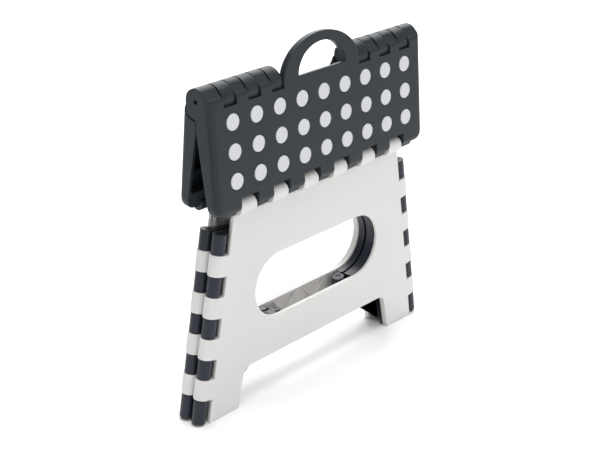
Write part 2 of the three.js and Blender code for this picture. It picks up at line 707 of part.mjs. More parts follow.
function gussetPin({ start, length, count }, side) {
  const from = start + 1;
  const to = start + length * count - 1;
  return atCorner(postGeometry(PIN_RADIUS, from, to, GUSSET_SPAN, CORNER_AXIS_Y, SMALL_SIDES), side);
}

function addCorners(front, back) {
  [[-1, 'left', 'right'], [1, 'right', 'left']].forEach(([side, name, opposite]) => {
    addPiece(front, `${name}_front_gusset`, gussetSolid(side, true), 'dark_plastic');
    addPiece(back, `${opposite}_back_gusset`, gussetSolid(side, false), 'dark_plastic');
    addPiece(front, `${name}_front_corner_pin`, cornerPin(side), 'pin_steel');
    addPiece(back, `${opposite}_back_corner_pin`, cornerPin(side), 'pin_steel');
    addPiece(front, `${name}_gusset_lower_pin`, gussetPin(GUSSET_LOWER_KNUCKLES, side), 'pin_steel');
    addPiece(front, `${name}_gusset_upper_pin`, gussetPin(GUSSET_UPPER_KNUCKLES, side), 'pin_steel');
  });
}

const stool = new THREE.Group();
const frontHalf = new THREE.Group();
const backHalf = new THREE.Group();
backHalf.rotation.z = Math.PI;
stool.add(frontHalf, backHalf);
addTreads(frontHalf, backHalf);
addLeg(frontHalf, 'front');
addLeg(backHalf, 'back');
addCorners(frontHalf, backHalf);

export default stool;
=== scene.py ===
import math

import bmesh
import bpy
from mathutils import Matrix, Vector
from mathutils.bvhtree import BVHTree
from mathutils.kdtree import KDTree


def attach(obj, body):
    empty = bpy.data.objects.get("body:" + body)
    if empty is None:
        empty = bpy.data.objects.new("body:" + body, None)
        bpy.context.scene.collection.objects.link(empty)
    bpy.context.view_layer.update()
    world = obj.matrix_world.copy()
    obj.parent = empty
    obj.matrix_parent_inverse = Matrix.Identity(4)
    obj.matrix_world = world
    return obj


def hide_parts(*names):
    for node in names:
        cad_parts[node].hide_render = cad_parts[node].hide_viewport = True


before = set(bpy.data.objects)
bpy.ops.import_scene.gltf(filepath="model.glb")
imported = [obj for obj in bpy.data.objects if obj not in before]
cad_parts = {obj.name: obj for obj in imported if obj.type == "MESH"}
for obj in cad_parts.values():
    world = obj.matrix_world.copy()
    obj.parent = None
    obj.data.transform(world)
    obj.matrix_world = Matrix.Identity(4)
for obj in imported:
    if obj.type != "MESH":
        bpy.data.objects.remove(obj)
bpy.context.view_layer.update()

# Lengths are in millimetres until a piece is placed, and follow the CAD part.
MM = 0.001

# Tread half, drawn flat: y = 0 and z = 0 on the centre hinge line, z up.
TREAD_HALF_WIDTH = 145
TREAD_FACE = 16.1
TREAD_OUTER_EDGE = -104.6
TREAD_CORNER_RADIUS = 12
TREAD_EDGE_RADIUS = 6
TREAD_SKIN = 3
TREAD_WALL = 3
TREAD_RIB = 1.8
TREAD_RIB_FOOT = 4.5
CROSS_RIB = 1.6
CROSS_RIB_FOOT = 6.5
CROSS_RIB_PITCH = 21.44
TREAD_LEAN = math.radians(4.97)
CENTRE_HINGE_HEIGHT = 308.4
RIM_BEND = -27
RIM_AT_BEND = -2
RIM_SLOPE = 0.0883
RIM_TO_MATE = 0.4
POCKET_RADIUS = 4

# Centre hinge of the tread.
CENTRE_BARREL_RADIUS = 12
CENTRE_BARREL_CORNER = 16.3
FRONT_KNUCKLE_DEPTH = 12.3
BACK_KNUCKLE_DEPTH = 14.6
KNUCKLE_ROOT = -19
KNUCKLE_ROOT_DEPTH = 1.2
KNUCKLE_FACE_END = -1.5
CENTRE_NOTCH_RADIUS = 17.5
CENTRE_EDGE_RADIUS = 5
CENTRE_PITCH = 29.9
CENTRE_FIRST = 59.4
CENTRE_KNUCKLE = 14.1
CENTRE_END_KNUCKLE = 127.2
CENTRE_KNUCKLE_EDGE = 0.7

# Carry handle.
HANDLE_HALF_WIDTH = 51.9
HANDLE_RISE = 37.8
HANDLE_CENTRE = -3.3
HANDLE_HOLE_HALF_WIDTH = 32.2
HANDLE_HOLE_RISE = 25.6
HANDLE_THICKNESS = 7
HANDLE_CLEARANCE = 1
HANDLE_EDGE = 1.2
FINGER_ROOM = 4

# Grip discs.
DOT_RADIUS = 7.5
DOT_PITCH_X = 29.5
DOT_PITCH_Y = 26.8
DOT_MIDDLE_ROW = -48.3
DOT_COLUMNS = 9
DOT_PROUD = 0.3
DOT_DEPTH = 2.6
DOT_GAP = 0.25
DOT_EDGE = 0.25

# Hinge between tread and leg.
LEG_HINGE_HEIGHT = 206.4
LEG_HINGE_Y = 15.1
LEG_KNUCKLE_RADIUS = 8.1
LEG_KNUCKLE_WIDTH = 20
NECK_INSET = 0.3
NECK_ROOT = 4
LIGHT_KNUCKLE_CENTRES = (-103.2, -61.9, -20.6, 20.6, 61.9, 103.2)
TAB_BARREL_RADIUS = 6
TAB_NOTCH = -91.6
TAB_BARREL_END = 131
TAB_CORNER = 3
LEG_BARREL_EDGE = 0.8

# Leg panel.
HALF_DEPTH = 15.5
LEG_TOP = 199.5
LEG_EDGE_AT_FLOOR = 156.1
LEG_EDGE_SLOPE = 0.1772
FOOT_INNER = 111.8
ARCH_HALF_WIDTH = 103.4
ARCH_HEIGHT = 39.8
ARCH_CORNER_RADIUS = 10
PANEL_SKIN = 3
PANEL_DEPTH = 6.5
LEG_FACE_EDGE = 0.7
LEG_BACK_EDGE = 0.4
RIM_WIDTH = 3
SIDE_RIM_INSET = 8
ZIGZAG_BANDS = ((39, 81, 4), (143, 199, 4))
ZIGZAG_RIB = 2
ZIGZAG_DROP = 0.3
HOLE_HALF_LENGTH = 88
HOLE_CENTRE_HEIGHT = 112
HOLE_HALF_HEIGHT = 32.4

# Corner hinges between leg and gusset.
CORNER_AXIS_AT_FLOOR = 157.6
CORNER_LEAN = math.atan(0.1735)
CORNER_AXIS_Y = 8
CORNER_LIGHT_RADIUS = 7.5
CORNER_DARK_RADIUS = 6.7
CORNER_DARK_CLEARANCE = 7.4
CORNER_LIGHT_CLEARANCE = 8.6
STACK_BOTTOM = 1.2
STACK_FIRST = 26
STACK_PITCH = 20.1
STACK_TOP = 186.8
STACK_GAP = 0.4
STACK_EDGE = 0.6
STACK_FOOT_EDGE = 1.2
DARK_ARM_BOTTOM = 8
DARK_ARM_LENGTH = 12
LIGHT_ARM_LENGTH = 13
LIGHT_ARM_DEPTH = 6.1

# Gusset halves.
GUSSET_NEAR = 8.2
GUSSET_FAR = 1.2
GUSSET_SKIN = 3
GUSSET_FACE_EDGE = 0.5
GUSSET_BACK_EDGE = 0.3
GUSSET_SPAN = 95.74
GUSSET_BARREL_RADIUS = 6.5
GUSSET_BARREL_CLEARANCE = 7.4
GUSSET_FOOT_HEIGHT = 5
GUSSET_ARCH_HEIGHT = 44
GUSSET_FOOT_INNER = 112.5
GUSSET_ARCH_FOOT = 106
GUSSET_HOLE_CLEARANCE = 1
COLLAR_NEAR = 12.2
COLLAR_ROOM = 4.8
GUSSET_KNUCKLES = ((64.5, 10.2, 3), (167.2, 9.7, 2))
GUSSET_ARM_NEAR = 6.7
GUSSET_ARM_FAR = 2.5

BORE_RADIUS = 2.1
LOOSE_BORE_RADIUS = 2.7
KNUCKLE_GAP = 0.9
FAR = 200
OVERLAP = 0.5

ROUND_SIDES = 40
SMALL_SIDES = 16
DISC_SIDES = 48
CURVE_STEPS = 8

# Eased edges.
EASED_ANGLE = math.radians(38)
EASED_REACH = 1.8
EASED_WIDTH = 0.45
EASED_ROOM = math.radians(8)
SMOOTH_ANGLE = math.radians(32)


# --- Outlines ------------------------------------------------------------------------------------

def rounded(corners, steps=CURVE_STEPS):
    """Closed outline through (x, y, radius) corners, each rounded by its radius."""
    points = []
    for i, (x, y, radius) in enumerate(corners):
        here = Vector((x, y))
        if radius == 0:
            points.append(here)
            continue
        before = here + (Vector(corners[i - 1][:2]) - here).normalized() * radius
        after = here + (Vector(corners[(i + 1) % len(corners)][:2]) - here).normalized() * radius
        for k in range(steps + 1):
            t = k / steps
            points.append(before * (1 - t) ** 2 + here * (2 * t * (1 - t)) + after * t ** 2)
    return points


def arc(cx, cy, rx, ry, start, end, steps=CURVE_STEPS):
    points = []
    for k in range(steps + 1):
        angle = start + (end - start) * k / steps
        points.append(Vector((cx + rx * math.cos(angle), cy + ry * math.sin(angle))))
    return points


def inset_outline(points, distance):
    """The outline moved inwards, corner by corner; it runs anticlockwise."""
    moved = []
    count = len(points)
    for i, here in enumerate(points):
        a = (here - points[i - 1]).normalized()
        b = (points[(i + 1) % count] - here).normalized()
        normal = Vector((-a.y - b.y, a.x + b.x))
        normal.normalize()
        cosine = max(0.35, normal.dot(Vector((-a.y, a.x))))
        moved.append(here + normal * (distance / cosine))
    return moved


def anticlockwise(points):
    kept = [p for i, p in enumerate(points) if (p - points[i - 1]).length > 1e-4]
    area = sum(kept[i - 1].cross(p) for i, p in enumerate(kept))
    return kept if area > 0 else kept[::-1]


# --- Solids --------------------------------------------------------------------------------------

# Where an outline's two directions, and the direction it is carried along, go in X, Y and Z.
BEAM = Matrix(((0, 0, 1), (1, 0, 0), (0, 1, 0))).to_4x4()
PLATE = Matrix(((1, 0, 0), (0, 0, 1), (0, 1, 0))).to_4x4()
SLAB = Matrix.Identity(4)


def object_of(name, mesh):
    obj = bpy.data.objects.new(name, mesh)
    bpy.context.scene.collection.objects.link(obj)
    return obj


def prism(points, low, high, turn=SLAB, edge=0.0, low_edge=None, steps=3):
    """A solid of one outline carried from low to high, with edges rounded by edge."""
    outline = anticlockwise(points)
    low_edge = edge if low_edge is None else low_edge
    rings = []
    for end, radius, sign in ((low, low_edge, 1), (high, edge, -1)):
        part = [(end, 0.0)]
        if radius > 0:
            part = []
            for k in range(steps + 1):
                angle = math.pi / 2 * k / steps
                part.append((end + sign * radius * (1 - math.sin(angle)), radius * (1 - math.cos(angle))))
            part.reverse()
        rings += part if sign > 0 else part[::-1]
    bm = bmesh.new()
    loops = []
    for height, inset in rings:
        ring = inset_outline(outline, inset) if inset > 0 else outline
        loops.append([bm.verts.new((p.x, p.y, height)) for p in ring])
    count = len(outline)
    for lower, upper in zip(loops, loops[1:]):
        for i in range(count):
            j = (i + 1) % count
            bm.faces.new((lower[i], lower[j], upper[j], upper[i]))
    bm.faces.new(loops[0][::-1])
    bm.faces.new(loops[-1])
    bmesh.ops.triangulate(bm, faces=[f for f in bm.faces if len(f.verts) > 4])
    mesh = bpy.data.meshes.new("solid")
    bm.to_mesh(mesh)
    bm.free()
    mesh.transform(turn)
    if turn.determinant() < 0:
        mesh.flip_normals()
    return object_of("solid", mesh)


def box(x0, x1, y0, y1, z0, z1, edge=0.0):
    corners = [Vector((x0, y0)), Vector((x1, y0)), Vector((x1, y1)), Vector((x0, y1))]
    return prism(corners, z0, z1, edge=edge)


def rod_x(radius, x0, x1, y, z, sides=ROUND_SIDES, edge=0.0):
    outline = arc(y, z, radius, radius, 0, 2 * math.pi, sides)[:-1]
    return prism(outline, x0, x1, BEAM, edge=edge)


def post(radius, z0, z1, inboard, y, side, sides=ROUND_SIDES, edge=0.0):
    outline = arc(inboard, y, radius, radius, 0, 2 * math.pi, sides)[:-1]
    return at_corner(prism(outline, z0, z1, edge=edge), side)


def at_corner(obj, side):
    """Places a solid drawn along the leaning corner axis on the front left (-1) or right (1) corner."""
    lean = Matrix.Rotation(CORNER_LEAN, 4, "Y")
    move = Matrix.Translation((-CORNER_AXIS_AT_FLOOR, -CORNER_AXIS_Y, 0))
    obj.data.transform(move @ lean)
    if side > 0:
        obj.data.transform(Matrix.Diagonal((-1, 1, 1, 1)))
        obj.data.flip_normals()
    return obj


def combined(base, tools, operation):
    """Joins the tools to the base, or cuts them from it, in order."""
    for tool in tools:
        step = base.modifiers.new("step", "BOOLEAN")
        step.operation = operation
        step.solver = "MANIFOLD"
        step.object = tool
    graph = bpy.context.evaluated_depsgraph_get()
    graph.update()
    mesh = bpy.data.meshes.new_from_object(base.evaluated_get(graph))
    base.modifiers.clear()
    old = base.data
    base.data = mesh
    bpy.data.meshes.remove(old)
    for tool in tools:
        mesh = tool.data
        bpy.data.objects.remove(tool)
        bpy.data.meshes.remove(mesh)
    return base


def union(base, tools):
    return combined(base, tools, "UNION")


def cut(base, tools):
    return combined(base, tools, "DIFFERENCE")


def common(base, tools):
    return combined(base, tools, "INTERSECT")


# --- Tread halves --------------------------------------------------------------------------------

def rim_height(y):
    straight = RIM_AT_BEND - RIM_SLOPE * (y - RIM_BEND)
    return max(straight, y * math.tan(TREAD_LEAN) + RIM_TO_MATE)


def tread_blank():
    w = TREAD_HALF_WIDTH
    r = TREAD_CORNER_RADIUS
    past = 2 * HANDLE_RISE
    plan = rounded([(-w, TREAD_OUTER_EDGE, r), (w, TREAD_OUTER_EDGE, r), (w, past, 0), (-w, past, 0)])
    return prism(plan, -3 * TREAD_FACE, TREAD_FACE, edge=TREAD_EDGE_RADIUS, low_edge=0, steps=6)


def underside_cut():
    points = [Vector((FAR, -FAR))]
    points += [Vector((y, rim_height(y))) for y in (FAR, RIM_BEND, -FAR)]
    points.append(Vector((-FAR, -FAR)))
    return prism(points, -FAR, FAR, BEAM)


def mate_clearance():
    lip = math.acos(TREAD_FACE / CENTRE_NOTCH_RADIUS) + math.pi / 2
    r = CENTRE_NOTCH_RADIUS
    points = [Vector((FAR, FAR)), Vector((r * math.cos(lip), FAR))]
    points += arc(0, 0, r, r, lip, 1.5 * math.pi, 2 * CURVE_STEPS)
    points.append(Vector((FAR, -r)))
    return prism(points, -FAR, FAR, BEAM)


def knuckle_outline(depth):
    r = CENTRE_EDGE_RADIUS
    barrel = CENTRE_BARREL_RADIUS
    corner = CENTRE_BARREL_CORNER
    points = [Vector((KNUCKLE_ROOT, TREAD_FACE)), Vector((KNUCKLE_FACE_END, TREAD_FACE))]
    points += arc(KNUCKLE_FACE_END, TREAD_FACE - r, r, r, math.pi / 2, 0.15 * math.pi)
    points += arc(0, 0, barrel, barrel, 0.22 * math.pi, 0)
    points += arc(0, 0, barrel, depth, 0, -math.pi / 2)
    points += arc(0, 0, corner, corner, math.asin(depth / corner) + math.pi, 1.04 * math.pi)
    points.append(Vector((KNUCKLE_ROOT, -KNUCKLE_ROOT_DEPTH)))
    return points


def knuckle_spans(is_front):
    spans = []
    for i in range(3):
        centre = CENTRE_FIRST + (i + (0.5 if is_front else 0)) * CENTRE_PITCH
        if not is_front or i < 2:
            spans.append((centre - CENTRE_KNUCKLE / 2, centre + CENTRE_KNUCKLE / 2))
    if is_front:
        spans.append((CENTRE_END_KNUCKLE, TREAD_HALF_WIDTH))
    return spans + [(-x1, -x0) for x0, x1 in spans]


def handle_outline(clearance, flip):
    w = HANDLE_HALF_WIDTH + clearance
    root = 1 - CENTRE_NOTCH_RADIUS - TREAD_WALL
    points = [Vector((-w, root)), Vector((w, root))]
    points += arc(0, HANDLE_CENTRE, w, HANDLE_RISE + clearance, 0, math.pi, 5 * CURVE_STEPS)
    return [Vector((p.x, -p.y)) for p in points] if flip else points


def handle_loop():
    loop = prism(handle_outline(0, False), TREAD_FACE - HANDLE_THICKNESS, TREAD_FACE, edge=HANDLE_EDGE)
    hole = arc(0, 0, HANDLE_HOLE_HALF_WIDTH, HANDLE_HOLE_RISE, 0, math.pi, 5 * CURVE_STEPS)
    room = HANDLE_HOLE_HALF_WIDTH + FINGER_ROOM
    finger = box(-room, room, -CENTRE_NOTCH_RADIUS, 1, -1, TREAD_FACE - TREAD_SKIN)
    return cut(loop, [prism(hole, -1, 2 * TREAD_FACE), finger])


def tread_pocket(is_front):
    w = TREAD_HALF_WIDTH - TREAD_WALL
    outer = TAB_NOTCH + TREAD_WALL
    inner = -CENTRE_NOTCH_RADIUS - TREAD_WALL
    r = POCKET_RADIUS
    plan = rounded([(-w, outer, r), (w, outer, r), (w, inner, r / 2), (-w, inner, r / 2)])
    pocket = prism(plan, -FAR, TREAD_FACE - TREAD_SKIN)
    if is_front:
        return pocket
    return cut(pocket, [prism(handle_outline(HANDLE_CLEARANCE + TREAD_WALL, True), -2 * FAR, FAR)])


def tread_ribs():
    top = TREAD_FACE - TREAD_SKIN + OVERLAP
    ribs = []
    for i in range(DOT_COLUMNS - 1):
        x = (i - (DOT_COLUMNS - 2) / 2) * DOT_PITCH_X
        half = TREAD_RIB / 2
        ribs.append(box(x - half, x + half, TAB_NOTCH + 1, 1 - CENTRE_NOTCH_RADIUS, TREAD_RIB_FOOT, top))
    for row in (-1, 0, 1):
        y = DOT_MIDDLE_ROW + row * CROSS_RIB_PITCH
        reach = TREAD_HALF_WIDTH - 1
        ribs.append(box(-reach, reach, y - CROSS_RIB / 2, y + CROSS_RIB / 2, CROSS_RIB_FOOT, top))
    return ribs


def leg_hinge_in_tread():
    y = -LEG_HINGE_Y
    z = LEG_HINGE_HEIGHT - CENTRE_HINGE_HEIGHT
    sine = math.sin(TREAD_LEAN)
    cosine = math.cos(TREAD_LEAN)
    return y * sine + z * cosine, z * sine - y * cosine


def tab_barrels():
    y, z = leg_hinge_in_tread()
    half = LEG_KNUCKLE_WIDTH / 2 + KNUCKLE_GAP
    edges = [-TAB_BARREL_END]
    for x in LIGHT_KNUCKLE_CENTRES:
        edges += [x - half, x + half]
    edges.append(TAB_BARREL_END)
    return [rod_x(TAB_BARREL_RADIUS, edges[i], edges[i + 1], y, z, edge=LEG_BARREL_EDGE)
            for i in range(0, len(edges), 2)]


def tab_notch(x):
    """The room for a light knuckle; its mouth flares, so the tabs have rounded lower corners."""
    half = LEG_KNUCKLE_WIDTH / 2 + KNUCKLE_GAP
    mouth = TREAD_OUTER_EDGE - 1
    r = TAB_CORNER
    points = [Vector((x - half, TAB_NOTCH)), Vector((x + half, TAB_NOTCH))]
    points += [Vector((x + half, TREAD_OUTER_EDGE + r)) + Vector((r - r * math.cos(a), -r * math.sin(a)))
               for a in (0, math.pi / 8, math.pi / 4, 3 * math.pi / 8, math.pi / 2)]
    points.append(Vector((x + half + r, mouth - r)))
    points.append(Vector((x - half - r, mouth - r)))
    points += [Vector((x - half, TREAD_OUTER_EDGE + r)) + Vector((r * math.cos(a) - r, -r * math.sin(a)))
               for a in (math.pi / 2, 3 * math.pi / 8, math.pi / 4, math.pi / 8, 0)]
    return prism(points, -FAR, FAR)


def dot_centres(is_front):
    centres = []
    for column in range(DOT_COLUMNS):
        x = (column - (DOT_COLUMNS - 1) / 2) * DOT_PITCH_X
        for row in (-1, 0, 1):
            cut_away = not is_front and row == 1 and abs(x) < 1.5 * DOT_PITCH_X
            if not cut_away:
                centres.append((x, DOT_MIDDLE_ROW + row * DOT_PITCH_Y))
    return centres


def tread_matrix(is_front):
    lift = Matrix.Translation((0, 0, CENTRE_HINGE_HEIGHT))
    hang = lift @ Matrix.Rotation(math.pi / 2 - TREAD_LEAN, 4, "X")
    return hang if is_front else Matrix.Rotation(math.pi, 4, "Z") @ hang


def tread_half(is_front):
    tread = cut(tread_blank(), [underside_cut(), mate_clearance(), tread_pocket(is_front)])
    union(tread, tread_ribs() + tab_barrels())
    depth = FRONT_KNUCKLE_DEPTH if is_front else BACK_KNUCKLE_DEPTH
    for x0, x1 in knuckle_spans(is_front):
        knuckle = prism(knuckle_outline(depth), x0, x1, BEAM, edge=CENTRE_KNUCKLE_EDGE)
        union(tread, [common(knuckle, [tread_blank()])])
    y, z = leg_hinge_in_tread()
    cut(tread, [tab_notch(x) for x in LIGHT_KNUCKLE_CENTRES])
    end = TAB_BARREL_END - 2
    cut(tread, [rod_x(BORE_RADIUS, -end, end, y, z, SMALL_SIDES)])
    if is_front:
        union(tread, [handle_loop()])
    else:
        cut(tread, [prism(handle_outline(HANDLE_CLEARANCE, True), -FAR, FAR)])
    cut(tread, [rod_x(BORE_RADIUS, -FAR, FAR, 0, 0, SMALL_SIDES)])
    seats = [disc(x, y, DOT_GAP, TREAD_FACE - DOT_DEPTH - DOT_GAP, 2 * TREAD_FACE)
             for x, y in dot_centres(is_front)]
    return cut(tread, seats)


def disc(x, y, grow, low, high, edge=0.0):
    r = DOT_RADIUS + grow
    return prism(arc(x, y, r, r, 0, 2 * math.pi, DISC_SIDES)[:-1], low, high, edge=edge, low_edge=0)


# --- Legs ----------------------------------------------------------------------------------------

def leg_edge(z):
    return LEG_EDGE_AT_FLOOR - LEG_EDGE_SLOPE * z


def leg_outline(inset, side_inset):
    top = LEG_TOP - inset
    arch = ARCH_HEIGHT + inset
    half = [(FOOT_INNER + inset, inset, 1.5),
            (leg_edge(inset) - side_inset, inset, 3),
            (leg_edge(top) - side_inset, top, 2)]
    arch_corner = (ARCH_HALF_WIDTH + inset, arch, ARCH_CORNER_RADIUS)
    mirrored = [(-x, z, r) for x, z, r in half][::-1]
    return rounded(half + mirrored + [(-arch_corner[0], arch, ARCH_CORNER_RADIUS), arch_corner])


def hole_outline(grow):
    radius = HOLE_HALF_HEIGHT + grow
    reach = HOLE_HALF_LENGTH - HOLE_HALF_HEIGHT
    z = HOLE_CENTRE_HEIGHT
    steps = 3 * CURVE_STEPS
    points = arc(reach, z, radius, radius, -math.pi / 2, math.pi / 2, steps)
    return points + arc(-reach, z, radius, radius, math.pi / 2, 1.5 * math.pi, steps)


def plate(points, y0, y1, edge=0.0, low_edge=None, steps=3):
    return prism(points, y0, y1, PLATE, edge=edge, low_edge=low_edge, steps=steps)


def stiffeners(front):
    """Zigzag ribs behind the panel, in bands above and below the hand hole."""
    bars = []
    for low, high, count in ZIGZAG_BANDS:
        rise = high - low
        for i in range(count):
            x = (i - (count - 1) / 2) * rise
            for turn in (-1, 1):
                half = ZIGZAG_RIB / 2
                bar = box(-half, half, front + PANEL_SKIN - OVERLAP, front + PANEL_DEPTH - ZIGZAG_DROP,
                          -rise * math.sqrt(0.5), rise * math.sqrt(0.5))
                move = Matrix.Translation((x, 0, (low + high) / 2))
                bar.data.transform(move @ Matrix.Rotation(turn * math.pi / 4, 4, "Y"))
                bars.append(bar)
    return bars


def stack_spans(is_dark):
    spans = []
    for i in range(-1 if is_dark else 0, 8, 2):
        start = STACK_BOTTOM if i < 0 else STACK_FIRST + i * STACK_PITCH
        spans.append((start, STACK_FIRST + (i + 1) * STACK_PITCH))
    return spans


def leg_corner(side):
    near = CORNER_AXIS_Y - HALF_DEPTH
    pieces = []
    for z0, z1 in stack_spans(False):
        pieces.append(post(CORNER_LIGHT_RADIUS, z0, z1, 0, 0, side, edge=STACK_EDGE))
        pieces.append(at_corner(box(0, LIGHT_ARM_LENGTH, near, near + LIGHT_ARM_DEPTH, z0, z1), side))
    return pieces


def leg_solid(is_front):
    front = -HALF_DEPTH
    back = front + PANEL_DEPTH
    skin = front + PANEL_SKIN
    body = plate(leg_outline(0, 0), front, back, low_edge=LEG_FACE_EDGE, edge=LEG_BACK_EDGE)
    pocket = cut(plate(leg_outline(RIM_WIDTH, SIDE_RIM_INSET + RIM_WIDTH), skin, FAR),
                 [plate(hole_outline(RIM_WIDTH), -FAR, FAR + 1)])
    cut(body, [pocket])
    skin_side = plate(leg_outline(-2, -2), -FAR, skin)
    keep = union(plate(leg_outline(-1, SIDE_RIM_INSET), skin - OVERLAP, FAR), [skin_side])
    common(body, [keep])
    inside = plate(leg_outline(RIM_WIDTH - OVERLAP, SIDE_RIM_INSET + RIM_WIDTH - OVERLAP), front + 1, back)
    ribs = stiffeners(front)
    lattice = common(union(ribs[0], ribs[1:]), [inside])
    union(body, [lattice])
    if is_front:
        cut(body, [plate(hole_outline(COLLAR_ROOM), skin, FAR)])
    knuckles = []
    for x in LIGHT_KNUCKLE_CENTRES:
        x0 = x - LEG_KNUCKLE_WIDTH / 2
        x1 = x + LEG_KNUCKLE_WIDTH / 2
        knuckles.append(rod_x(LEG_KNUCKLE_RADIUS, x0, x1, -LEG_HINGE_Y, LEG_HINGE_HEIGHT,
                              edge=LEG_BARREL_EDGE))
        knuckles.append(box(x0 + NECK_INSET, x1 - NECK_INSET, front, back, LEG_TOP - NECK_ROOT,
                            LEG_HINGE_HEIGHT))
    union(body, knuckles)
    for side in (-1, 1):
        reach = CORNER_DARK_CLEARANCE
        rooms = []
        for z0, z1 in stack_spans(True):
            low = -STACK_FIRST if z0 < STACK_FIRST else z0 - STACK_GAP
            high = z1 + STACK_GAP if z1 < STACK_TOP - STACK_GAP else 2 * FAR
            rooms.append(at_corner(box(-FAR, reach, -HALF_DEPTH, reach, low, high), side))
        cut(body, rooms)
        union(body, leg_corner(side))
        cut(body, [post(BORE_RADIUS, -1, FAR, 0, 0, side, SMALL_SIDES)])
    cut(body, [plate(hole_outline(0), -FAR, FAR)])
    cut(body, [rod_x(BORE_RADIUS, -FAR, FAR, -LEG_HINGE_Y, LEG_HINGE_HEIGHT, SMALL_SIDES)])
    return body


# --- Gusset halves -------------------------------------------------------------------------------

def corner_axis(z):
    return CORNER_AXIS_AT_FLOOR - math.tan(CORNER_LEAN) * z


def gusset_point(inboard, along):
    sine = math.sin(CORNER_LEAN)
    cosine = math.cos(CORNER_LEAN)
    return CORNER_AXIS_AT_FLOOR - along * sine - inboard * cosine, along * cosine - inboard * sine


def gusset_outline(inset):
    outer = CORNER_LIGHT_CLEARANCE + inset
    inner = GUSSET_SPAN - GUSSET_BARREL_CLEARANCE - inset
    foot = GUSSET_FOOT_HEIGHT + inset
    arch = GUSSET_ARCH_HEIGHT + inset
    top = STACK_TOP - inset
    outer_foot = corner_axis(foot) - outer / math.cos(CORNER_LEAN)
    inner_arch = corner_axis(arch) - inner / math.cos(CORNER_LEAN)
    return rounded([(GUSSET_FOOT_INNER + inset, foot, 1),
                    (outer_foot, foot, 2),
                    (*gusset_point(outer, top), 2),
                    (*gusset_point(inner, top), 2),
                    (inner_arch, arch, 2),
                    (GUSSET_ARCH_FOOT + inset, arch, ARCH_CORNER_RADIUS / 2)])


def gusset_spans(is_first):
    own = 0 if is_first else 1
    spans = []
    for start, length, count in GUSSET_KNUCKLES:
        spans += [(start + i * length, start + (i + 1) * length) for i in range(count) if i % 2 == own]
    return spans


def gusset_solid(side, is_front):
    near = CORNER_AXIS_Y - GUSSET_NEAR
    far = CORNER_AXIS_Y - GUSSET_FAR
    pocket = cut(plate(gusset_outline(RIM_WIDTH), -GUSSET_NEAR + GUSSET_SKIN, FAR),
                 [plate(hole_outline(GUSSET_HOLE_CLEARANCE + RIM_WIDTH), -FAR, FAR + 1)])
    gusset = plate(gusset_outline(0), -GUSSET_NEAR, -GUSSET_FAR, edge=GUSSET_BACK_EDGE,
                   low_edge=GUSSET_FACE_EDGE)
    cut(gusset, [pocket])
    if is_front:
        collar = plate(gusset_outline(0), -COLLAR_NEAR, -GUSSET_NEAR + GUSSET_SKIN)
        union(gusset, [common(collar, [plate(hole_outline(GUSSET_HOLE_CLEARANCE + RIM_WIDTH), -FAR, FAR)])])
    cut(gusset, [plate(hole_outline(GUSSET_HOLE_CLEARANCE), -FAR, FAR)])
    if side < 0:
        gusset.data.transform(Matrix.Diagonal((-1, 1, 1, 1)))
        gusset.data.flip_normals()
    pieces = []
    for z0, z1 in stack_spans(True):
        z0 += STACK_GAP
        z1 -= STACK_GAP
        edge = STACK_FOOT_EDGE if z0 < DARK_ARM_BOTTOM else STACK_EDGE
        arm_bottom = max(z0, DARK_ARM_BOTTOM)
        pieces.append(at_corner(box(0, DARK_ARM_LENGTH, near, far, arm_bottom, z1), side))
        pieces.append(post(CORNER_DARK_RADIUS, z0, z1, 0, 0, side, edge=edge))
    inner = GUSSET_SPAN - GUSSET_BARREL_CLEARANCE - RIM_WIDTH
    arm_near = CORNER_AXIS_Y - GUSSET_ARM_NEAR
    arm_far = CORNER_AXIS_Y - GUSSET_ARM_FAR
    for z0, z1 in gusset_spans(side < 0):
        z0 += STACK_GAP
        z1 -= STACK_GAP
        pieces.append(at_corner(box(inner, GUSSET_SPAN, arm_near, arm_far, z0, z1), side))
        pieces.append(post(GUSSET_BARREL_RADIUS, z0, z1, GUSSET_SPAN, CORNER_AXIS_Y, side,
                           edge=STACK_EDGE))
    union(gusset, pieces)
    corner_bore = BORE_RADIUS if is_front else LOOSE_BORE_RADIUS
    return cut(gusset, [post(corner_bore, -1, FAR, 0, 0, side, SMALL_SIDES),
                        post(BORE_RADIUS, -1, FAR, GUSSET_SPAN, CORNER_AXIS_Y, side, SMALL_SIDES)])


# --- Materials -----------------------------------------------------------------------------------

def shader_of(mat):
    return mat.node_tree.nodes["Principled BSDF"]


